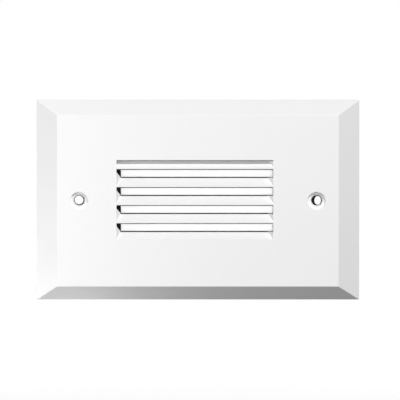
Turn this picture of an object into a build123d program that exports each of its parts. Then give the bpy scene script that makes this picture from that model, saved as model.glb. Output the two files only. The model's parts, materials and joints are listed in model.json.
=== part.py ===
from build123d import *
import os

# Recessed step light with a louvred faceplate, for a single-gang wall box.
# Origin: the middle of the wall plane. X runs right, Y into the wall, Z up. Sizes in millimetres.

# Faceplate
plate_width = 113.4
plate_height = 70.3
projection = 6.35
rim_lip = 0.8
side_bevel = 7.3
end_bevel = 5.0
front_wall = 2.0
rim_wall = 2.2
plate_edge_radius = 0.25
screw_inset = 15.03
plate_hole_radius = 1.85
head_recess_radius = 3.08
head_recess_depth = 1.3
recess_edge = 0.12
lead_in_radius = 2.15
lead_in_depth = 0.8
boss_radius = 4.5
rib_width = 1.6
rib_spacing = 44.0

# Louvre window
louvre_width = 55.0
louvre_shift = -1.07
louvre_top = 14.3
top_blade_drop = 3.27
blade_pitch = 6.35
blade_count = 4
blade_land = 0.7
blade_rise = 3.26
blade_rear_height = 1.2
blade_edge_radius = 0.15
slit_height = 0.38
left_gusset = 1.5
right_gusset = 1.9
gusset_gap = 0.95
collar_wall = 2.2

# Foam seals on the back of the faceplate
seal_thickness = 1.1
seal_margin_x = 3.0
seal_margin_z = 3.95
seal_corner = 4.0
slot_drop = 0.4
slot_lap = 0.17
slot_end_lap = 1.52
left_hole_radius = 1.55
left_hole_shift = -0.12
right_hole_width = 2.3
right_hole_height = 3.1
right_hole_shift = 0.4
right_hole_drop = 0.12
wall_seal_thickness = 1.2
wall_seal_width = 4.0
side_fit = 0.1

# Mounting frame
frame_thickness = 1.0
ear_margin = 7.33
ear_height = 20.0
frame_hole_radius = 2.2
frame_overlap = 1.25
body_gap = 0.3

# Lens and its gasket
lens_overlap = 2.0
lens_thickness = 3.0
lens_corner = 2.5
lens_chamfer = 0.3
gasket_lip = 1.0
gasket_wall = 1.5
gasket_margin = 3.0
lens_fit = 0.05

# Light box and LED board
reflector_depth = 9.0
reflector_wall = 1.2
reflector_flange = 1.5
light_slope_x = 6.0
light_slope_z = 5.0
led_board_margin_x = 6.0
led_board_margin_z = 4.5
led_board_thickness = 1.6
led_columns = 4
led_rows = 2
led_row_spacing = 9.0
led_width = 3.5
led_height = 2.8
led_depth = 0.8
phosphor_inset = 0.4
phosphor_depth = 0.3
led_screw_inset = 2.6
pad_thickness = 0.5
pad_margin = 1.0
spreader_thickness = 3.0
spreader_fit = 0.2

# Housing
housing_width = 73.0
housing_height = 47.0
housing_depth = 37.0
housing_wall = 2.0
housing_corner = 4.0
post_inset = 4.0
front_post_radius = 2.6
rear_post_radius = 4.5
cooling_rib_count = 7
cooling_rib_pitch = 8.0
cooling_rib_width = 1.4
cooling_rib_height = 1.0
cooling_rib_inset = 3.0
rear_gasket_thickness = 0.8
rear_cover_thickness = 2.0

# Screws
thread_fit = 0.05
screw_hole_fit = 0.25
flat_head_radius = 2.8
m3_radius = 1.45
m3_head_radius = 2.75
m3_head_height = 1.9
frame_screw_length = 10.0
cover_screw_length = 8.0
small_screw_radius = 1.0
small_head_radius = 1.9
small_head_height = 1.2
led_screw_length = 4.6
driver_screw_length = 3.0
drive_width = 0.5
drive_share = 0.6
head_round_share = 0.4

# Driver
film_thickness = 0.25
driver_margin_x = 6.5
driver_margin_z = 5.5
driver_thickness = 1.6
standoff_inset = 3.5
standoff_length = 4.0
standoff_flats = 4.5
standoff_stud_radius = 1.2
standoff_stud_length = 2.5
transformer_width = 14.0
transformer_height = 10.0
transformer_core_depth = 5.0
transformer_leg = 2.0
transformer_window = 3.0
winding_depth = 10.0
bobbin_thickness = 0.8
bobbin_inset = 0.5
bobbin_reach = 1.0
transformer_share = -0.054
input_capacitor_radius = 4.0
input_capacitor_length = 10.5
input_capacitor_share = (0.009, 0.328)
output_capacitor_radius = 3.15
output_capacitor_length = 9.0
output_capacitor_share = (-0.214, 0.313)
can_round_share = 0.15
crimp_height_share = 0.5
crimp_share = 0.12
choke_radius = 4.0
choke_length = 9.0
choke_share = (0.009, -0.328)
rectifier_size = (4.8, 4.0, 2.5)
rectifier_legs = 2
rectifier_pitch = 2.5
rectifier_share = (0.196, 0.016)
chip_size = (5.0, 4.0, 1.5)
chip_legs = 4
chip_pitch = 1.27
chip_share = (-0.232, -0.313)
leg_width = 0.5
leg_reach = 1.0
leg_thickness = 0.3
fuse_width = 8.5
fuse_height = 4.0
fuse_depth = 7.5
fuse_round = 0.6
fuse_share = (0.205, 0.305)
varistor_radius = 4.0
varistor_thickness = 3.6
varistor_round = 1.0
varistor_leg_radius = 0.3
varistor_leg_spacing = 5.0
varistor_leg_length = 1.5
varistor_share = (0.205, -0.3)
terminal_inset = 7.0
terminal_width = 8.0
terminal_depth = 9.0
terminal_poles = 3
terminal_pitch = 5.0
wire_entry_radius = 1.3
wire_entry_depth = 6.3
wire_entry_shift = 1.6
release_slot_width = 1.6
release_slot_height = 2.5
release_slot_shift = 2.0
connector_inset = 8.0
connector_width = 6.0
connector_height = 8.0
connector_depth = 5.0
connector_round = 0.5

# Leads from the driver to the LED board
lead_radius = 0.55
lead_spacing = 3.0
lead_clearance = 2.1
lead_pad_inset = 2.9
lead_bends = [4.2, 3.0]
lead_pad_size = 2.4
lead_pad_thickness = 0.1
notch_width = 4.0
notch_height = 7.0

# Cable bush and grounding screw
bush_x = 18.0
bush_bore_radius = 3.0
bush_neck_radius = 5.0
bush_flange_radius = 7.0
bush_tip_radius = 4.4
bush_flange_thickness = 1.5
bush_nose_length = 5.0
ground_x = -20.0
ground_screw_radius = 2.35
ground_screw_length = 6.0
ground_head_flats = 8.0
ground_head_height = 2.6
ground_washer_radius = 4.9
ground_washer_thickness = 0.8
ground_boss_radius = 5.0
ground_boss_height = 3.0

# Depths along Y, from the front of the plate into the wall
plate_front = -projection
plate_shoulder = -rim_lip
plate_floor = plate_front + front_wall
seal_rear = -(frame_thickness + body_gap)
seat = seal_rear - seal_thickness
frame_front = -frame_thickness
lens_front = gasket_lip
gasket_rear = 2 * gasket_lip + lens_thickness
led_board_front = gasket_rear + reflector_depth
pad_front = led_board_front + led_board_thickness
spreader_front = pad_front + pad_thickness
spreader_rear = spreader_front + spreader_thickness
driver_front = spreader_rear + standoff_length
driver_rear = driver_front + driver_thickness
cover_front = housing_depth + rear_gasket_thickness
cover_rear = cover_front + rear_cover_thickness

# Outlines that several pieces share
screw_spacing = plate_width - 2 * screw_inset
inner_width = housing_width - 2 * housing_wall
inner_height = housing_height - 2 * housing_wall
inner_corner = housing_corner - housing_wall
lens_opening_width = inner_width - 2 * (gasket_margin + gasket_wall + lens_overlap)
lens_opening_height = inner_height - 2 * (gasket_margin + gasket_wall + lens_overlap)
lens_width = lens_opening_width + 2 * lens_overlap
lens_height = lens_opening_height + 2 * lens_overlap
gasket_width = lens_width + 2 * gasket_wall
gasket_height = lens_height + 2 * gasket_wall
gasket_corner = lens_corner + gasket_wall
light_floor_width = lens_opening_width - 2 * light_slope_x
light_floor_height = lens_opening_height - 2 * light_slope_z
led_board_width = inner_width - 2 * led_board_margin_x
led_board_height = inner_height - 2 * led_board_margin_z
driver_width = inner_width - 2 * driver_margin_x
driver_height = inner_height - 2 * driver_margin_z
groove_width = plate_width - 2 * rim_wall
groove_height = plate_height - 2 * rim_wall
cavity_width = groove_width - 2 * wall_seal_width
cavity_height = groove_height - 2 * wall_seal_width
seal_width = cavity_width - 2 * seal_margin_x
seal_height = cavity_height - 2 * seal_margin_z
frame_length = screw_spacing + 2 * ear_margin
bevel_rise = projection - rim_lip
blade_edges = [louvre_top - top_blade_drop - n * blade_pitch for n in range(blade_count + 1)]
louvre_bottom = blade_edges[-1]

# A plane with its first axis up and its second axis into the wall, for profiles seen from the side
SIDE = Plane(origin=(0, 0, 0), x_dir=(0, 0, 1), z_dir=(-1, 0, 0))


def slab(outline, front, thickness):
    """An outline drawn in X and Z, made solid from its front face into the wall."""
    return extrude(Plane.XZ.offset(-front) * outline, -thickness)


def block(width, height, front, thickness, x=0, z=0):
    return slab(Pos(x, z) * Rectangle(width, height), front, thickness)


def rod(radius, front, length, x=0, z=0):
    return slab(Pos(x, z) * Circle(radius), front, length)


def cone(front_radius, rear_radius, front, length, x=0, z=0):
    """A cone along Y."""
    upright = Cone(front_radius, rear_radius, length, align=(Align.CENTER, Align.CENTER, Align.MIN))
    return Pos(x, front, z) * Rot(X=-90) * upright


def tapered_block(front_size, rear_size, front, rear):
    """A block with four flat sloping sides between a front rectangle and a rear one."""
    reach = max(front_size + rear_size)
    plan, side = [
        Polygon((-wide / 2, front), (wide / 2, front), (far / 2, rear), (-far / 2, rear), align=None)
        for wide, far in zip(front_size, rear_size)
    ]
    return extrude(plan, reach, both=True) & extrude(SIDE * side, reach, both=True)


def corners(spacing_x, spacing_z):
    return [(x, z) for x in (-spacing_x / 2, spacing_x / 2) for z in (-spacing_z / 2, spacing_z / 2)]


def copies(make, places):
    """Separate solids of one make, one at each (x, z)."""
    return Compound(children=[make(x, z) for x, z in places])


def cut_all(body, tools):
    for tool in tools:
        body -= tool
    return body


def add_all(body, pieces):
    for piece in pieces:
        body += piece
    return body


def cross_drive(radius, front, depth, x, z):
    """The tool that cuts a cross recess in a screw head."""
    length = 2 * radius * drive_share
    return block(length, drive_width, front, depth, x, z) + block(drive_width, length, front, depth, x, z)


def pan_screw(radius, head_radius, head_height, head_side, length, x, z, way):
    """A pan-head screw whose head sits on the plane y = head_side. It points along +Y or -Y."""
    head_front = head_side - head_height if way > 0 else head_side
    head = rod(head_radius, head_front, head_height, x, z)
    rim = head.faces().sort_by(Axis.Y)[0 if way > 0 else -1].edges()
    head = fillet(rim, head_height * head_round_share)
    shank = rod(radius, head_side if way > 0 else head_side - length, length, x, z)
    recess = head_height * drive_share
    recess_front = head_front if way > 0 else head_front + head_height - recess
    return head + shank - cross_drive(head_radius, recess_front, recess, x, z)


# ---------------------------------------------------------------- faceplate

screw_places = [(-screw_spacing / 2, 0), (screw_spacing / 2, 0)]
window_height = louvre_top - louvre_bottom
window_middle = (louvre_top + louvre_bottom) / 2


def plate_shell():
    """The hollow bevelled plate, with a ledge for the wall seal inside its rim."""
    face_size = (plate_width - 2 * side_bevel, plate_height - 2 * end_bevel)
    body = tapered_block(face_size, (plate_width, plate_height), plate_front, plate_shoulder)
    sloping = body.edges().filter_by(lambda e: abs(e.center().Y - plate_shoulder) > rim_lip)
    body = fillet(sloping, plate_edge_radius)
    body += block(plate_width, plate_height, plate_shoulder, rim_lip)
    body -= block(groove_width, groove_height, -wall_seal_thickness, wall_seal_thickness)
    hollow = -wall_seal_thickness - plate_floor
    floor_size = (
        cavity_width - 2 * side_bevel * hollow / bevel_rise,
        cavity_height - 2 * end_bevel * hollow / bevel_rise,
    )
    return body - tapered_block(floor_size, (cavity_width, cavity_height), plate_floor, -wall_seal_thickness)


def plate_supports():
    """Ribs, screw bosses and the collar round the window, all ending at the seat of the foam seal."""
    depth = seat - plate_floor
    collar_size = (louvre_width + 2 * collar_wall, window_height + 2 * collar_wall)
    yield block(*collar_size, plate_floor, depth, louvre_shift, window_middle)
    yield block(cavity_width - side_bevel, rib_width, plate_floor, depth)
    for x in (-rib_spacing / 2, rib_spacing / 2):
        yield block(rib_width, cavity_height - end_bevel, plate_floor, depth, x)
    for x, z in screw_places:
        yield rod(boss_radius, plate_floor, depth, x, z)


def blade(edge):
    """One sloping blade, placed by the height of its lower front edge. Its rear is higher."""
    profile = Polygon(
        (edge, plate_front),
        (edge + blade_land, plate_front),
        (edge + blade_rise, seat),
        (edge + blade_rise - blade_rear_height, seat),
        align=None,
    )
    noses = profile.vertices().filter_by(lambda v: v.X in (edge, edge + blade_rise))
    rounded = fillet(noses, blade_edge_radius)
    return Pos(louvre_shift, 0, 0) * extrude(SIDE * rounded, louvre_width / 2 + collar_wall / 2, both=True)


def sill():
    """The lowest slope, solid down to the bottom of the window."""
    edge = louvre_bottom
    profile = Polygon(
        (edge - collar_wall / 2, plate_front),
        (edge + blade_land, plate_front),
        (edge + blade_rise, seat),
        (edge - collar_wall / 2, seat),
        align=None,
    )
    rear_edge = profile.vertices().filter_by(lambda v: v.X == edge + blade_rise)
    rounded = fillet(rear_edge, blade_edge_radius)
    return Pos(louvre_shift, 0, 0) * extrude(SIDE * rounded, louvre_width / 2 + collar_wall / 2, both=True)


def gussets(edge):
    """Three-sided webs where a blade meets the ends of the window. The top blade has only a right one."""
    low = edge + blade_land
    high = edge + blade_rise
    webs = [(1, right_gusset, high)]
    if edge < blade_edges[0]:
        webs.append((-1, left_gusset, edge + blade_pitch - gusset_gap))
    for side, inset, top in webs:
        end = louvre_shift + side * louvre_width / 2
        outer = end + side * collar_wall / 2
        front_points = [(end, plate_front, low), (end, plate_front, top)]
        outer_points = [(outer, plate_front, low), (outer, plate_front, top), (outer, seat, high)]
        yield ConvexPolyhedron(front_points + outer_points + [(end - side * inset, seat, high)])


def screw_hole_tool(x, z):
    """The tool for a screw hole: a flat recess for the head, then a tapered lead-in to the hole."""
    recess_floor = plate_front + head_recess_depth
    tool = rod(head_recess_radius, plate_front, head_recess_depth, x, z)
    tool += cone(head_recess_radius + recess_edge, head_recess_radius, plate_front, recess_edge, x, z)
    tool += cone(lead_in_radius, plate_hole_radius, recess_floor, lead_in_depth, x, z)
    return tool + rod(plate_hole_radius, recess_floor, seat - recess_floor, x, z)


def make_faceplate():
    body = add_all(plate_shell(), plate_supports())
    body -= block(louvre_width, window_height, plate_front, seat - plate_front, louvre_shift, window_middle)
    for edge in blade_edges[:-1]:
        body += blade(edge)
    body += sill()
    for edge in blade_edges:
        body = add_all(body, gussets(edge))
    slit_middle = louvre_top - slit_height / 2
    body -= block(louvre_width, slit_height, plate_front, seat - plate_front, louvre_shift, slit_middle)
    for x, z in screw_places:
        body -= screw_hole_tool(x, z)
    return body


def make_faceplate_gasket():
    """The foam sheet behind the plate: a slot behind each opening, and a snug hole round each screw."""
    outline = RectangleRounded(seal_width, seal_height, seal_corner)
    slot_left = louvre_shift - louvre_width / 2 + slot_end_lap
    slot_right = louvre_shift + louvre_width / 2 - slot_lap
    slot_height = blade_pitch - blade_rise - slot_drop - slot_lap
    for edge in blade_edges[:-1]:
        middle = Pos((slot_left + slot_right) / 2, edge - slot_drop - slot_height / 2)
        outline -= middle * Rectangle(slot_right - slot_left, slot_height)
    outline -= Pos(left_hole_shift - screw_spacing / 2, 0) * Circle(left_hole_radius)
    right_place = Pos(right_hole_shift + screw_spacing / 2, -right_hole_drop)
    outline -= right_place * Ellipse(right_hole_width / 2, right_hole_height / 2)
    return slab(outline, seat, seal_thickness)


def make_wall_gasket():
    outer = Rectangle(groove_width - side_fit, groove_height - side_fit)
    return slab(outer - Rectangle(cavity_width, cavity_height), -wall_seal_thickness, wall_seal_thickness)


# ---------------------------------------------------------------- mounting frame and housing

post_places = corners(housing_width - 2 * post_inset, housing_height - 2 * post_inset)
head_cone = flat_head_radius - m3_radius


def flat_screw(x, z, fit=0.0):
    """A countersunk screw flush with the mounting frame's front, or the tool for its hole."""
    head = cone(flat_head_radius + fit, m3_radius + fit, frame_front, head_cone, x, z)
    return head + rod(m3_radius + fit, frame_front, frame_screw_length + 2 * fit, x, z)


def frame_screw(x, z):
    return flat_screw(x, z) - cross_drive(flat_head_radius, frame_front, head_cone * drive_share, x, z)


def make_mounting_frame():
    outline = RectangleRounded(housing_width, housing_height, housing_corner)
    outline += RectangleRounded(frame_length, ear_height, housing_corner)
    opening_width = gasket_width - 2 * (gasket_wall + lens_overlap - frame_overlap)
    opening_height = gasket_height - 2 * (gasket_wall + lens_overlap - frame_overlap)
    outline -= RectangleRounded(opening_width, opening_height, lens_corner)
    for x, z in screw_places:
        outline -= Pos(x, z) * Circle(frame_hole_radius)
    screw_tools = [flat_screw(x, z, thread_fit) for x, z in post_places]
    return cut_all(slab(outline, frame_front, frame_thickness), screw_tools)


def wall_outline(post_radius):
    """The housing's wall with its four screw posts, as a flat outline."""
    outer = RectangleRounded(housing_width, housing_height, housing_corner)
    wall = outer - RectangleRounded(inner_width, inner_height, inner_corner)
    for x, z in post_places:
        wall += Pos(x, z) * Circle(post_radius) & outer
    return wall


def make_housing():
    body = slab(wall_outline(front_post_radius), 0, spreader_rear)
    body += slab(wall_outline(rear_post_radius), spreader_rear, housing_depth - spreader_rear)
    rib_length = housing_depth - 2 * cooling_rib_inset
    rib_reach = housing_height + 2 * cooling_rib_height
    for n in range(cooling_rib_count):
        x = (n - (cooling_rib_count - 1) / 2) * cooling_rib_pitch
        rib = block(cooling_rib_width, rib_reach, cooling_rib_inset, rib_length, x)
        body += rib - block(cooling_rib_width, housing_height - housing_wall, 0, housing_depth, x)
    for x, z in post_places:
        body -= flat_screw(x, z, thread_fit)
        body -= rod(m3_radius + thread_fit, housing_depth - cover_screw_length, cover_screw_length, x, z)
    return body


def make_rear_gasket():
    outline = wall_outline(rear_post_radius)
    for x, z in post_places:
        outline -= Pos(x, z) * Circle(m3_radius + screw_hole_fit)
    return slab(outline, housing_depth, rear_gasket_thickness)


def make_rear_cover():
    outline = RectangleRounded(housing_width, housing_height, housing_corner)
    outline -= Pos(bush_x, 0) * Circle(bush_neck_radius)
    for x, z in post_places:
        outline -= Pos(x, z) * Circle(m3_radius + screw_hole_fit)
    boss_front = cover_front - ground_boss_height
    body = slab(outline, cover_front, rear_cover_thickness)
    body += rod(ground_boss_radius, boss_front, ground_boss_height, ground_x)
    return body - rod(ground_screw_radius + thread_fit, boss_front, cover_rear - boss_front, ground_x)


def cover_screw(x, z):
    return pan_screw(m3_radius, m3_head_radius, m3_head_height, cover_rear, cover_screw_length, x, z, -1)


def make_cable_grommet():
    """The rubber bush: a flange on each side of the cover, and a tapered nose outside."""
    inner_front = cover_front - bush_flange_thickness
    nose_front = cover_rear + bush_flange_thickness
    length = nose_front + bush_nose_length - inner_front
    body = rod(bush_flange_radius, inner_front, bush_flange_thickness, bush_x)
    body += rod(bush_neck_radius, cover_front, rear_cover_thickness, bush_x)
    body += rod(bush_flange_radius, cover_rear, bush_flange_thickness, bush_x)
    nose_radius = bush_flange_radius - bush_flange_thickness
    body += cone(nose_radius, bush_tip_radius, nose_front, bush_nose_length, bush_x)
    return body - rod(bush_bore_radius, inner_front, length, bush_x)


def make_ground_screw():
    """A hexagon-head screw on its washer, turned into the rear cover's boss."""
    head_front = cover_rear + ground_washer_thickness
    hexagon = Pos(ground_x, 0) * RegularPolygon(ground_head_flats / 2, 6, major_radius=False)
    body = slab(hexagon, head_front, ground_head_height)
    body += rod(ground_screw_radius, head_front - ground_screw_length, ground_screw_length, ground_x)
    recess = ground_head_height * drive_share / 2
    slot_front = head_front + ground_head_height - recess
    return body - cross_drive(ground_head_flats / 2, slot_front, recess, ground_x, 0)


def make_ground_washer():
    ring = Circle(ground_washer_radius) - Circle(ground_screw_radius + screw_hole_fit)
    return slab(Pos(ground_x, 0) * ring, cover_rear, ground_washer_thickness)


# ---------------------------------------------------------------- lens, light box and LED board


def make_lens():
    body = slab(RectangleRounded(lens_width, lens_height, lens_corner), lens_front, lens_thickness)
    rims = body.faces().sort_by(Axis.Y)[0].edges() + body.faces().sort_by(Axis.Y)[-1].edges()
    return chamfer(rims, lens_chamfer)


def make_lens_gasket():
    body = slab(RectangleRounded(gasket_width, gasket_height, gasket_corner), 0, gasket_rear)
    pocket = RectangleRounded(lens_width + 2 * lens_fit, lens_height + 2 * lens_fit, lens_corner + lens_fit)
    body -= slab(pocket, lens_front, lens_thickness)
    return body - slab(RectangleRounded(lens_opening_width, lens_opening_height, lens_corner), 0, gasket_rear)


def make_reflector():
    opening = (lens_opening_width, lens_opening_height)
    floor = (light_floor_width, light_floor_height)
    opening_outer = tuple(size + 2 * reflector_wall for size in opening)
    floor_outer = tuple(size + 2 * reflector_wall for size in floor)
    body = tapered_block(opening_outer, floor_outer, gasket_rear, led_board_front)
    body += slab(RectangleRounded(gasket_width, gasket_height, gasket_corner), gasket_rear, reflector_flange)
    return body - tapered_block(opening, floor, gasket_rear, led_board_front)


led_column_spacing = light_floor_width / led_columns
led_places = [
    ((column - (led_columns - 1) / 2) * led_column_spacing, (row - (led_rows - 1) / 2) * led_row_spacing)
    for column in range(led_columns)
    for row in range(led_rows)
]
led_screw_rise = led_board_height / 2 - led_screw_inset
led_screw_places = [(0, -led_screw_rise), (0, led_screw_rise)]
phosphor_width = led_width - 2 * phosphor_inset
phosphor_height = led_height - 2 * phosphor_inset


def led_package(x, z):
    body = block(led_width, led_height, led_board_front - led_depth, led_depth, x, z)
    return body - block(phosphor_width, phosphor_height, led_board_front - led_depth, phosphor_depth, x, z)


def led_phosphor(x, z):
    return block(phosphor_width, phosphor_height, led_board_front - led_depth, phosphor_depth, x, z)


def make_led_board():
    outline = Rectangle(led_board_width, led_board_height)
    for x, z in led_screw_places:
        outline -= Pos(x, z) * Circle(small_screw_radius + screw_hole_fit)
    return slab(outline, led_board_front, led_board_thickness)


def led_board_screw(x, z):
    sizes = (small_screw_radius, small_head_radius, small_head_height)
    return pan_screw(*sizes, led_board_front, led_screw_length, x, z, 1)


def make_thermal_pad():
    outline = Rectangle(led_board_width - 2 * pad_margin, led_board_height - 2 * pad_margin)
    for x, z in led_screw_places:
        outline -= Pos(x, z) * Circle(small_screw_radius + screw_hole_fit)
    return slab(outline, pad_front, pad_thickness)


standoff_places = corners(driver_width - 2 * standoff_inset, driver_height - 2 * standoff_inset)


def make_heat_spreader():
    """The plate rests on the wide rear posts. Its corners clear the slim front posts."""
    width = inner_width - 2 * spreader_fit
    outline = RectangleRounded(width, inner_height - 2 * spreader_fit, inner_corner)
    for x, z in post_places:
        outline -= Pos(x, z) * Circle(front_post_radius + spreader_fit)
    outline -= Pos(-width / 2, 0) * Rectangle(2 * notch_width, notch_height)
    body = slab(outline, spreader_front, spreader_thickness)
    for x, z in led_screw_places:
        body -= rod(small_screw_radius + thread_fit, spreader_front, spreader_thickness, x, z)
    for x, z in standoff_places:
        body -= rod(standoff_stud_radius + thread_fit, spreader_front, spreader_thickness, x, z)
    return body


# ---------------------------------------------------------------- driver


def make_insulating_film():
    outline = Rectangle(driver_width, driver_height)
    for x, z in standoff_places:
        outline -= Pos(x, z) * Circle(standoff_flats / 2 + 2 * screw_hole_fit)
    for x, z in led_screw_places:
        outline -= Pos(x, z) * Circle(small_screw_radius + screw_hole_fit)
    return slab(outline, spreader_rear, film_thickness)


def standoff(x, z):
    hexagon = Pos(x, z) * RegularPolygon(standoff_flats / 2, 6, major_radius=False)
    body = slab(hexagon, spreader_rear, standoff_length)
    body += rod(standoff_stud_radius, spreader_rear - standoff_stud_length, standoff_stud_length, x, z)
    return body - rod(small_screw_radius + thread_fit, spreader_rear, standoff_length, x, z)


def make_driver_board():
    outline = Rectangle(driver_width, driver_height)
    for x, z in standoff_places:
        outline -= Pos(x, z) * Circle(small_screw_radius + screw_hole_fit)
    return slab(outline, driver_front, driver_thickness)


def driver_screw(x, z):
    length = driver_thickness + driver_screw_length
    return pan_screw(small_screw_radius, small_head_radius, small_head_height, driver_rear, length, x, z, -1)


def on_board(share):
    """A place on the driver board, given as shares of its width and height from its middle."""
    return share[0] * driver_width, share[1] * driver_height


transformer_x = transformer_share * driver_width
terminal_x = driver_width / 2 - terminal_inset
connector_x = connector_inset - driver_width / 2
core_front = driver_rear + bobbin_thickness
winding_front = core_front + transformer_leg
winding_height = transformer_height - 2 * transformer_leg


def make_transformer_core():
    """A closed core with a middle leg, seen from above as a figure of eight."""
    body = block(transformer_width, transformer_core_depth, core_front, transformer_height, transformer_x)
    for side in (-1, 1):
        x = transformer_x + side * (transformer_leg + transformer_window / 2)
        body -= block(transformer_window, transformer_core_depth, winding_front, winding_height, x)
    return body


def make_transformer_winding():
    """The wound and taped coil round the middle leg, through both windows of the core."""
    width = 2 * (transformer_leg + transformer_window) - 4 * side_fit
    height = winding_height - 2 * side_fit
    body = block(width, winding_depth, winding_front + side_fit, height, transformer_x)
    leg_width = 2 * transformer_leg + side_fit
    leg_depth = transformer_core_depth + side_fit
    return body - block(leg_width, leg_depth, winding_front, winding_height, transformer_x)


def make_transformer_bobbin():
    width = transformer_width - 2 * bobbin_inset
    height = winding_depth + 2 * bobbin_reach
    return block(width, height, driver_rear, bobbin_thickness, transformer_x)


def capacitor(radius, length, share):
    """A standing can with a crimp groove near its foot and a rounded top."""
    x, z = on_board(share)
    can = rod(radius, driver_rear, length, x, z)
    can = fillet(can.faces().sort_by(Axis.Y)[-1].edges(), radius * can_round_share)
    crimp_place = Pos(x, driver_rear + radius * crimp_height_share, z)
    return can - crimp_place * Rot(X=-90) * Torus(radius, radius * crimp_share)


def make_varistor():
    """A disc standing on its two wire legs."""
    x, z = on_board(varistor_share)
    middle = varistor_leg_length + varistor_radius
    disc = Pos(x, driver_rear + middle, z) * Cylinder(varistor_radius, varistor_thickness)
    disc = fillet(disc.edges().filter_by(GeomType.CIRCLE), varistor_round)
    for side in (-1, 1):
        disc += rod(varistor_leg_radius, driver_rear, middle, x + side * varistor_leg_spacing / 2, z)
    return disc


def leaded_package(size, legs, pitch, share):
    """A moulded package with a row of flat legs on its upper and lower sides."""
    width, height, depth = size
    x, z = on_board(share)
    body = block(width, height, driver_rear + leg_thickness, depth, x, z)
    for n in range(legs):
        leg_x = x + (n - (legs - 1) / 2) * pitch
        body += block(leg_width, height + 2 * leg_reach, driver_rear, leg_thickness, leg_x, z)
    return body


def make_fuse():
    body = block(fuse_width, fuse_height, driver_rear, fuse_depth, *on_board(fuse_share))
    return fillet(body.edges().filter_by(Axis.Y), fuse_round)


def make_input_terminal():
    """A three-pole screwless block. Each pole has a round wire entry and a release slot."""
    height = terminal_poles * terminal_pitch
    body = block(terminal_width, height, driver_rear, terminal_depth, terminal_x)
    front = driver_rear + terminal_depth - wire_entry_depth
    entry_x = terminal_x + wire_entry_shift
    slot_x = terminal_x - release_slot_shift
    for n in range(terminal_poles):
        z = (n - (terminal_poles - 1) / 2) * terminal_pitch
        body -= rod(wire_entry_radius, front, wire_entry_depth, entry_x, z)
        body -= block(release_slot_width, release_slot_height, front, wire_entry_depth, slot_x, z)
    return body


def make_output_connector():
    body = block(connector_width, connector_height, driver_rear, connector_depth, connector_x)
    return fillet(body.edges().filter_by(Axis.Y), connector_round)


# ---------------------------------------------------------------- leads

lead_exit_x = connector_x - connector_width / 2
lead_run_x = lead_clearance - inner_width / 2
lead_end_x = lead_pad_inset - led_board_width / 2
lead_exit_y = driver_rear + connector_depth / 2
lead_board_y = led_board_front - lead_pad_thickness - lead_radius
lead_places = {"led_lead_positive": lead_spacing / 2, "led_lead_negative": -lead_spacing / 2}


def lead(z):
    """One wire: out of the connector, forward past the boards' edges, then in to its solder pad."""
    points = [
        (lead_exit_x, lead_exit_y, z),
        (lead_run_x, lead_exit_y, z),
        (lead_run_x, lead_board_y, z),
        (lead_end_x, lead_board_y, z),
    ]
    profile = Plane(origin=points[0], z_dir=(-1, 0, 0)) * Circle(lead_radius)
    return sweep(profile, FilletPolyline(*points, radius=lead_bends))


def solder_pad(x, z):
    return block(lead_pad_size, lead_pad_size, led_board_front - lead_pad_thickness, lead_pad_thickness, x, z)


# ---------------------------------------------------------------- all the pieces

pieces = {
    "faceplate": make_faceplate(),
    "faceplate_gasket": make_faceplate_gasket(),
    "wall_gasket": make_wall_gasket(),
    "mounting_frame": make_mounting_frame(),
    "frame_screws": copies(frame_screw, post_places),
    "lens": make_lens(),
    "lens_gasket": make_lens_gasket(),
    "reflector": make_reflector(),
    "led_packages": copies(led_package, led_places),
    "led_phosphors": copies(led_phosphor, led_places),
    "led_board": make_led_board(),
    "led_board_screws": copies(led_board_screw, led_screw_places),
    "thermal_pad": make_thermal_pad(),
    "heat_spreader": make_heat_spreader(),
    "insulating_film": make_insulating_film(),
    "standoffs": copies(standoff, standoff_places),
    "driver_board": make_driver_board(),
    "driver_screws": copies(driver_screw, standoff_places),
    "transformer_core": make_transformer_core(),
    "transformer_winding": make_transformer_winding(),
    "transformer_bobbin": make_transformer_bobbin(),
    "input_capacitor": capacitor(input_capacitor_radius, input_capacitor_length, input_capacitor_share),
    "output_capacitor": capacitor(output_capacitor_radius, output_capacitor_length, output_capacitor_share),
    "choke": rod(choke_radius, driver_rear, choke_length, *on_board(choke_share)),
    "bridge_rectifier": leaded_package(rectifier_size, rectifier_legs, rectifier_pitch, rectifier_share),
    "driver_chip": leaded_package(chip_size, chip_legs, chip_pitch, chip_share),
    "fuse": make_fuse(),
    "varistor": make_varistor(),
    "input_terminal": make_input_terminal(),
    "output_connector": make_output_connector(),
    "solder_pads": copies(solder_pad, [(lead_end_x, z) for z in lead_places.values()]),
    "housing": make_housing(),
    "rear_gasket": make_rear_gasket(),
    "rear_cover": make_rear_cover(),
    "cover_screws": copies(cover_screw, post_places),
    "cable_grommet": make_cable_grommet(),
    "ground_screw": make_ground_screw(),
    "ground_washer": make_ground_washer(),
}
for name, z in lead_places.items():
    pieces[name] = lead(z)

os.makedirs("parts", exist_ok=True)
for name, piece in pieces.items():
    export_step(piece, f"parts/{name}.step")
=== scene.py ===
import json
import math

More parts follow.
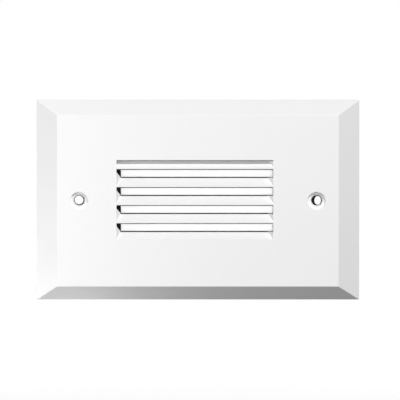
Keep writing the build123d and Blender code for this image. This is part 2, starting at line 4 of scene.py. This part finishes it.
import bpy
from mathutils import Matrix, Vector


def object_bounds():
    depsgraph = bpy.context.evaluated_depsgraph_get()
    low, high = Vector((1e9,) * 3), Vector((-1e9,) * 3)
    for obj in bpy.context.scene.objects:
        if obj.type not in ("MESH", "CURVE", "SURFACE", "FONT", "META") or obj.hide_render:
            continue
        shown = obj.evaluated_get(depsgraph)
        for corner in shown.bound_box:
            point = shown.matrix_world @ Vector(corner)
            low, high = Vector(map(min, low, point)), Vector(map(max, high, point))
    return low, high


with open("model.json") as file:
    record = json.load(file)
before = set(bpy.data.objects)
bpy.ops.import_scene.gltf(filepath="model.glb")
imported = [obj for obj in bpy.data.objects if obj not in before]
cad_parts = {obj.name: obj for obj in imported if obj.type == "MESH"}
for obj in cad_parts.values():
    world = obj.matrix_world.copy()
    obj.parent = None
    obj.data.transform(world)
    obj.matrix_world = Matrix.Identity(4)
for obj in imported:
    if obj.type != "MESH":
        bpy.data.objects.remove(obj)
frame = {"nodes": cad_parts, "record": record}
cad_low, cad_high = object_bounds()
nodes = frame["nodes"]
scene = bpy.context.scene

# ---------------------------------------------------------------- view and light
# Lengths are in metres, but the camera's lens and sensor are in millimetres. Power is in watts.

VIEW_ELEVATION = math.radians(4.0)
VIEW_AZIMUTH = math.radians(0.2)
VIEW_LENS = 800.0
VIEW_SENSOR = 36.0
VIEW_WIDTH = 0.14065
VIEW_CENTRE = (0.00073, 0.0, -0.00014)
VIEW_CLIP = (0.05, 30.0)

# The floor hangs below the part, which a wall holds, and fades out between two distances.
# Its paper is one shade to the eye and a darker one to the light that bounces off it.
FLOOR_DROP = 0.075
FLOOR_SIZE = 1.2
FLOOR_FADE = (0.22, 0.5)
FLOOR_SEEN = 0.35
FLOOR_BOUNCE = 0.12
FLOOR_GLOW = 0.78

# name, place, size, power: each lamp is a square that faces the part's origin
LAMPS = [
    ("key", (0.341, -0.936, 0.836), 0.16, 12.2),
    ("front", (0.0, -1.3, 0.0), 0.7, 4.8),
    ("left_far", (-0.3, -0.08, 0.1), 0.06, 0.068),
    ("left_low", (-0.15, -0.08, -0.05), 0.06, 0.054),
    ("left_high", (-0.15, -0.08, 0.1), 0.06, 0.024),
    ("under_left", (-0.1, -0.005, -0.06), 0.02, 0.006),
    ("under_middle", (-0.07, -0.005, -0.06), 0.02, 0.0012),
    ("under_right", (-0.04, -0.005, -0.06), 0.02, 0.0015),
]

# The glow of the lens in front of an LED, and the share of it that is left between four of them.
# The LEDs start half a pitch from the middle.
LENS_GLOW = 0.49
GLOW_BETWEEN_LEDS = 0.97
LED_PITCH_X = 0.011
LED_PITCH_Z = 0.009


# ---------------------------------------------------------------- node helpers


class Shader:
    """One material's node tree, with short calls for the nodes that the finishes share."""

    def __init__(self, name):
        self.material = bpy.data.materials.new(name)
        self.material.use_nodes = True
        self.tree = self.material.node_tree
        self.tree.nodes.clear()
        self.output = self.tree.nodes.new("ShaderNodeOutputMaterial")
        self.coordinates = self.tree.nodes.new("ShaderNodeTexCoord").outputs["Object"]

    def add(self, kind, **values):
        node = self.tree.nodes.new(kind)
        for key, value in values.items():
            setattr(node, key, value)
        return node

    def put(self, socket, value):
        """Links an output into a socket, or sets the socket to a constant."""
        if isinstance(value, bpy.types.NodeSocket):
            self.tree.links.new(value, socket)
        elif isinstance(value, (tuple, list)) and len(value) == 3 and socket.type == "RGBA":
            socket.default_value = (*value, 1.0)
        else:
            socket.default_value = value

    def stretch(self, scale):
        """Object coordinates, scaled by a number or by one number an axis."""
        mapping = self.add("ShaderNodeMapping")
        self.put(mapping.inputs["Vector"], self.coordinates)
        even = isinstance(scale, (int, float))
        mapping.inputs["Scale"].default_value = (scale,) * 3 if even else scale
        return mapping.outputs["Vector"]

    def noise(self, scale, detail=2.0, roughness=0.5):
        node = self.add("ShaderNodeTexNoise")
        self.put(node.inputs["Vector"], self.stretch(scale))
        node.inputs["Scale"].default_value = 1.0
        node.inputs["Detail"].default_value = detail
        node.inputs["Roughness"].default_value = roughness
        return node.outputs["Fac"]

    def cells(self, scale):
        node = self.add("ShaderNodeTexVoronoi", feature="F1")
        self.put(node.inputs["Vector"], self.stretch(scale))
        node.inputs["Scale"].default_value = 1.0
        return node.outputs["Distance"]

    def math(self, operation, first, second=0.0):
        node = self.add("ShaderNodeMath", operation=operation)
        self.put(node.inputs[0], first)
        self.put(node.inputs[1], second)
        return node.outputs["Value"]

    def spread(self, value, low, high, start=0.0, end=1.0):
        """Maps a value from start..end to low..high."""
        node = self.add("ShaderNodeMapRange")
        for name, given in (
            ("Value", value),
            ("From Min", start),
            ("From Max", end),
            ("To Min", low),
            ("To Max", high),
        ):
            self.put(node.inputs[name], given)
        return node.outputs["Result"]

    def blend(self, factor, first, second):
        node = self.add("ShaderNodeMix", data_type="RGBA")
        self.put(node.inputs["Factor"], factor)
        self.put(node.inputs["A"], first)
        self.put(node.inputs["B"], second)
        return node.outputs["Result"]

    def bump(self, height, depth, strength=1.0, under=None):
        node = self.add("ShaderNodeBump")
        node.inputs["Strength"].default_value = strength
        node.inputs["Distance"].default_value = depth
        self.put(node.inputs["Height"], height)
        if under is not None:
            self.put(node.inputs["Normal"], under)
        return node.outputs["Normal"]

    def finish(self, color, roughness, normal=None, **constants):
        """The one Principled BSDF of the finish. Constants are socket names with _ for a space."""
        shader = self.add("ShaderNodeBsdfPrincipled")
        self.put(shader.inputs["Base Color"], color)
        self.put(shader.inputs["Roughness"], roughness)
        if normal is not None:
            self.put(shader.inputs["Normal"], normal)
        for name, value in constants.items():
            self.put(shader.inputs[name.replace("_", " ")], value)
        self.put(self.output.inputs["Surface"], shader.outputs["BSDF"])
        return self.material


def near(color, factor):
    """The colour made darker or lighter by a factor."""
    return tuple(min(1.0, channel * factor) for channel in color)


# ---------------------------------------------------------------- finishes


def powder_coat(name, color):
    """Fine textured powder coat: low rounded grains over a slight orange peel."""
    s = Shader(name)
    peel = s.bump(s.noise(420.0, 1.0), 0.00006, 0.3)
    grain = s.bump(s.noise(1900.0, 2.0, 0.6), 0.00005, 0.5, peel)
    shade = s.blend(s.noise(60.0, 3.0), near(color, 0.985), near(color, 1.01))
    return s.finish(shade, s.spread(s.noise(900.0), 0.42, 0.58), grain, Specular_IOR_Level=0.4)


def foam(name, color):
    """Closed-cell foam: small round pores in a dull skin, with painted shade that darkens each pore
    towards its middle.
    """
    s = Shader(name)
    pores = s.cells(1500.0)
    skin = s.bump(s.noise(5200.0, 2.0), 0.00004, 0.5)
    # painted shade: the colour goes darker in the pore hollows and lighter on the skin between them
    shade = s.blend(s.spread(pores, 0.0, 1.0, 0.1, 0.6), near(color, 0.55), near(color, 1.5))
    return s.finish(shade, 0.95, s.bump(pores, 0.00022, 0.8, skin), Specular_IOR_Level=0.25)


def rubber(name, color, roughness=0.62):
    """Dull rubber or silicone with a fine grain."""
    s = Shader(name)
    grain = s.bump(s.noise(2600.0, 3.0), 0.00003, 0.5)
    shade = s.blend(s.noise(220.0, 3.0), near(color, 0.8), near(color, 1.35))
    return s.finish(shade, s.spread(s.noise(700.0), roughness - 0.1, roughness + 0.1), grain)


def brushed(name, color, grain=(90.0, 2600.0, 2600.0), low=0.26, high=0.4):
    """Plated or rolled metal with fine lines along one axis."""
    s = Shader(name)
    lines = s.noise(grain, 3.0, 0.65)
    cloud = s.noise(130.0, 3.0)
    shade = s.blend(cloud, near(color, 0.9), near(color, 1.06))
    rough = s.math("ADD", s.spread(lines, low, high, 0.3, 0.7), s.spread(cloud, -0.03, 0.04))
    return s.finish(shade, rough, s.bump(lines, 0.000003, 0.7), Metallic=1.0)


def cast_metal(name, color):
    """Die-cast surface: a fine sandy skin with soft flow marks and a few pits, with painted shade
    darkening the pits.
    """
    s = Shader(name)
    sand = s.noise(2300.0, 3.0, 0.6)
    flow = s.noise((70.0, 70.0, 160.0), 3.0)
    pits = s.spread(s.cells(330.0), 0.0, 1.0, 0.02, 0.13)
    soft = s.bump(flow, 0.00025, 0.25)
    skin = s.bump(sand, 0.00004, 0.6, soft)
    dents = s.bump(pits, 0.00008, 0.5, skin)
    shade = s.blend(flow, near(color, 0.82), near(color, 1.1))
    # painted shade: the pits are darkened to half the metal's colour, as the shade in their hollows
    shade = s.blend(pits, near(color, 0.5), shade)
    return s.finish(shade, s.spread(sand, 0.42, 0.62, 0.3, 0.7), dents, Metallic=0.92)


def moulded(name, color, roughness=0.4, grain=0.5, **constants):
    """Moulded plastic: a faint spark-eroded grain and slight flow shading."""
    s = Shader(name)
    texture = s.bump(s.noise(3200.0, 2.0), 0.00002, grain)
    shade = s.blend(s.noise(150.0, 2.0), near(color, 0.93), near(color, 1.06))
    rough = s.spread(s.noise(1200.0), roughness - 0.06, roughness + 0.06)
    return s.finish(shade, rough, texture, **constants)


def circuit_board(name, mask, copper):
    """Solder mask over raised copper runs, on a glossy board."""
    s = Shader(name)
    brick = s.add("ShaderNodeTexBrick", offset=0.37, squash=0.6, squash_frequency=3)
    turned = s.add("ShaderNodeMapping")
    s.put(turned.inputs["Vector"], s.coordinates)
    turned.inputs["Rotation"].default_value = (math.radians(90), 0.0, 0.0)
    s.put(brick.inputs["Vector"], turned.outputs["Vector"])
    brick.inputs["Scale"].default_value = 95.0
    brick.inputs["Mortar Size"].default_value = 0.045
    brick.inputs["Mortar Smooth"].default_value = 0.1
    runs = brick.outputs["Fac"]
    shade = s.blend(runs, s.blend(s.noise(300.0), near(mask, 0.85), near(mask, 1.1)), copper)
    bumps = s.bump(s.noise(2600.0), 0.00001, 0.4, s.bump(runs, 0.00004, 0.7))
    return s.finish(shade, s.spread(runs, 0.3, 0.24), bumps, Coat_Weight=0.3, Coat_Roughness=0.15)


def lit_glass(name, color, glow):
    """Frosted tempered glass over the light box: etched and evenly lit."""
    s = Shader(name)
    split = s.add("ShaderNodeSeparateXYZ")
    s.put(split.inputs["Vector"], s.coordinates)
    waves = []
    for axis, pitch in (("X", LED_PITCH_X), ("Z", LED_PITCH_Z)):
        shifted = s.math("ADD", split.outputs[axis], pitch / 2)
        waves.append(s.math("COSINE", s.math("MULTIPLY", shifted, 2 * math.pi / pitch)))
    spots = s.spread(s.math("ADD", *waves), GLOW_BETWEEN_LEDS, 1.0, -2.0, 2.0)
    etched = s.bump(s.noise(5200.0, 2.0), 0.00001, 0.6)
    shade = s.blend(s.noise(900.0), near(color, 0.985), color)
    return s.finish(
        shade,
        0.55,
        etched,
        Transmission_Weight=0.15,
        IOR=1.5,
        Emission_Color=(1.0, 0.995, 0.985),
        Emission_Strength=s.math("MULTIPLY", spots, glow),
    )


def film(name, color):
    """Clear polyester film that isn't quite flat."""
    s = Shader(name)
    shade = s.blend(s.noise(90.0, 2.0), near(color, 0.94), color)
    waves = s.bump(s.noise(160.0, 2.0), 0.00005, 0.3)
    return s.finish(shade, 0.22, waves, Transmission_Weight=0.35, IOR=1.6)


def wrapped_tape(name, color):
    """Layers of polyester tape round the coil, with their overlap lines."""
    s = Shader(name)
    wave = s.add("ShaderNodeTexWave", wave_type="BANDS", bands_direction="Y")
    s.put(wave.inputs["Vector"], s.coordinates)
    wave.inputs["Scale"].default_value = 90.0
    wave.inputs["Distortion"].default_value = 0.6
    edge = s.spread(wave.outputs["Fac"], 0.0, 1.0, 0.0, 0.25)
    shade = s.blend(edge, near(color, 0.72), s.blend(s.noise(250.0), near(color, 0.95), near(color, 1.05)))
    return s.finish(shade, 0.25, s.bump(edge, 0.00003, 0.6), Coat_Weight=0.4, Coat_Roughness=0.1)


WHITE_PAINT = (0.925, 0.925, 0.925)

FINISHES = {
    "white_powder_coat": powder_coat("white_powder_coat", WHITE_PAINT),
    "black_foam": foam("black_foam", (0.012, 0.012, 0.012)),
    "grey_foam": foam("grey_foam", (0.09, 0.09, 0.095)),
    "zinc_steel": brushed("zinc_steel", (0.62, 0.63, 0.64)),
    "screw_steel": brushed("screw_steel", (0.68, 0.68, 0.69), (1500.0, 1500.0, 1500.0), 0.2, 0.34),
    "frosted_glass": lit_glass("frosted_glass", (0.95, 0.95, 0.95), LENS_GLOW),
    "black_silicone": rubber("black_silicone", (0.02, 0.02, 0.02), 0.45),
    "white_polycarbonate": moulded("white_polycarbonate", (0.88, 0.88, 0.87), 0.25),
    "white_ceramic": moulded("white_ceramic", (0.85, 0.85, 0.84), 0.55),
    "yellow_phosphor": moulded("yellow_phosphor", (0.9, 0.68, 0.12), 0.4, Subsurface_Weight=0.2),
    "white_board": circuit_board("white_board", (0.85, 0.86, 0.85), (0.88, 0.88, 0.86)),
    "solder": brushed("solder", (0.6, 0.6, 0.6), (900.0, 900.0, 900.0), 0.18, 0.32),
    "grey_silicone": rubber("grey_silicone", (0.3, 0.31, 0.33), 0.7),
    "plate_aluminium": brushed("plate_aluminium", (0.72, 0.73, 0.74), (2400.0, 2400.0, 70.0), 0.26, 0.44),
    "clear_film": film("clear_film", (0.86, 0.84, 0.72)),
    "brass": brushed("brass", (0.78, 0.6, 0.28), (2600.0, 300.0, 2600.0), 0.2, 0.34),
    "green_board": circuit_board("green_board", (0.03, 0.22, 0.1), (0.06, 0.34, 0.14)),
    "ferrite": moulded("ferrite", (0.06, 0.06, 0.065), 0.6, 0.9),
    "yellow_tape": wrapped_tape("yellow_tape", (0.85, 0.66, 0.1)),
    "black_plastic": moulded("black_plastic", (0.03, 0.03, 0.03), 0.5),
    "capacitor_sleeve": moulded("capacitor_sleeve", (0.05, 0.06, 0.1), 0.28, 0.2),
    "shrink_sleeve": moulded("shrink_sleeve", (0.02, 0.02, 0.02), 0.5, 0.8),
    "black_epoxy": moulded("black_epoxy", (0.03, 0.03, 0.03), 0.6, 0.9),
    "brown_plastic": moulded("brown_plastic", (0.2, 0.09, 0.04), 0.3, 0.3),
    "blue_epoxy": moulded("blue_epoxy", (0.04, 0.13, 0.42), 0.25, 0.3),
    "grey_nylon": moulded("grey_nylon", (0.45, 0.46, 0.47), 0.45),
    "white_nylon": moulded("white_nylon", (0.82, 0.81, 0.76), 0.45),
    "red_wire": moulded("red_wire", (0.55, 0.03, 0.02), 0.35, 0.2),
    "black_wire": moulded("black_wire", (0.02, 0.02, 0.02), 0.35, 0.2),
    "cast_aluminium": cast_metal("cast_aluminium", (0.56, 0.57, 0.58)),
    "black_rubber": rubber("black_rubber", (0.02, 0.02, 0.02)),
    "green_zinc": brushed("green_zinc", (0.04, 0.32, 0.1), (1500.0, 1500.0, 1500.0), 0.24, 0.36),
}

slots = {row["node"]: row["material_slot"] for row in frame["record"]["subparts"]}
for name, node in nodes.items():
    node.data.materials.clear()
    node.data.materials.append(FINISHES[slots[name]])


# ---------------------------------------------------------------- floor, world, lamps, camera


def seen_rays(tree):
    """1 for the rays that show the background: camera, mirror and glass rays."""
    path = tree.nodes.new("ShaderNodeLightPath")
    seen = path.outputs["Is Camera Ray"]
    for name in ("Is Glossy Ray", "Is Transmission Ray"):
        either = tree.nodes.new("ShaderNodeMath")
        either.operation = "MAXIMUM"
        tree.links.new(seen, either.inputs[0])
        tree.links.new(path.outputs[name], either.inputs[1])
        seen = either.outputs["Value"]
    return seen


def make_floor(height):
    """White paper that fades into the white backdrop, and keeps the shadow under the object."""
    half = FLOOR_SIZE / 2
    sheet = [(x * half, y * half, height) for x, y in ((-1, -1), (1, -1), (1, 1), (-1, 1))]
    mesh = bpy.data.meshes.new("floor")
    mesh.from_pydata(sheet, [], [(0, 1, 2, 3)])
    floor = bpy.data.objects.new("floor", mesh)
    scene.collection.objects.link(floor)
    s = Shader("floor_paper")
    seen = seen_rays(s.tree)
    paper = s.add("ShaderNodeBsdfDiffuse")
    s.put(paper.inputs["Color"], s.blend(seen, (FLOOR_BOUNCE,) * 3, (FLOOR_SEEN,) * 3))
    glow = s.add("ShaderNodeEmission")
    s.put(glow.inputs["Strength"], s.math("MULTIPLY", seen, FLOOR_GLOW))
    both = s.add("ShaderNodeAddShader")
    s.put(both.inputs[0], paper.outputs["BSDF"])
    s.put(both.inputs[1], glow.outputs["Emission"])
    distance = s.add("ShaderNodeVectorMath", operation="LENGTH")
    s.put(distance.inputs[0], s.coordinates)
    fade = s.add("ShaderNodeMixShader")
    s.put(fade.inputs["Fac"], s.spread(distance.outputs["Value"], 0.0, 1.0, *FLOOR_FADE))
    s.put(fade.inputs[1], both.outputs["Shader"])
    s.put(fade.inputs[2], s.add("ShaderNodeBsdfTransparent").outputs["BSDF"])
    s.put(s.output.inputs["Surface"], fade.outputs["Shader"])
    mesh.materials.append(s.material)


def make_world():
    """A white backdrop for camera, mirror and glass rays, which lights nothing else."""
    world = bpy.data.worlds.new("studio")
    scene.world = world
    world.use_nodes = True
    tree = world.node_tree
    tree.nodes.clear()
    output = tree.nodes.new("ShaderNodeOutputWorld")
    light = tree.nodes.new("ShaderNodeBackground")
    light.inputs["Color"].default_value = (1.0, 1.0, 1.0, 1.0)
    tree.links.new(seen_rays(tree), light.inputs["Strength"])
    tree.links.new(light.outputs["Background"], output.inputs["Surface"])


def make_lamp(name, place, size, power):
    data = bpy.data.lights.new(name, "AREA")
    data.size = size
    data.energy = power
    lamp = bpy.data.objects.new(name, data)
    lamp.location = place
    lamp.rotation_euler = (-Vector(place)).to_track_quat("-Z", "Y").to_euler()
    lamp.visible_camera = False
    scene.collection.objects.link(lamp)


def make_camera():
    """A long lens far away, a little above the part and square to its front."""
    data = bpy.data.cameras.new("camera")
    data.sensor_width = VIEW_SENSOR
    data.lens = VIEW_LENS
    data.clip_start, data.clip_end = VIEW_CLIP
    camera = bpy.data.objects.new("camera", data)
    level = math.cos(VIEW_ELEVATION)
    across = math.sin(VIEW_AZIMUTH) * level
    away = -math.cos(VIEW_AZIMUTH) * level
    back = Vector((across, away, math.sin(VIEW_ELEVATION)))
    camera.location = Vector(VIEW_CENTRE) + back * (VIEW_WIDTH * VIEW_LENS / VIEW_SENSOR)
    camera.rotation_euler = (-back).to_track_quat("-Z", "Y").to_euler()
    scene.collection.objects.link(camera)
    scene.camera = camera


make_floor(cad_low.z - FLOOR_DROP)
make_world()
for lamp in LAMPS:
    make_lamp(*lamp)
make_camera()
scene.view_settings.view_transform = "Standard"
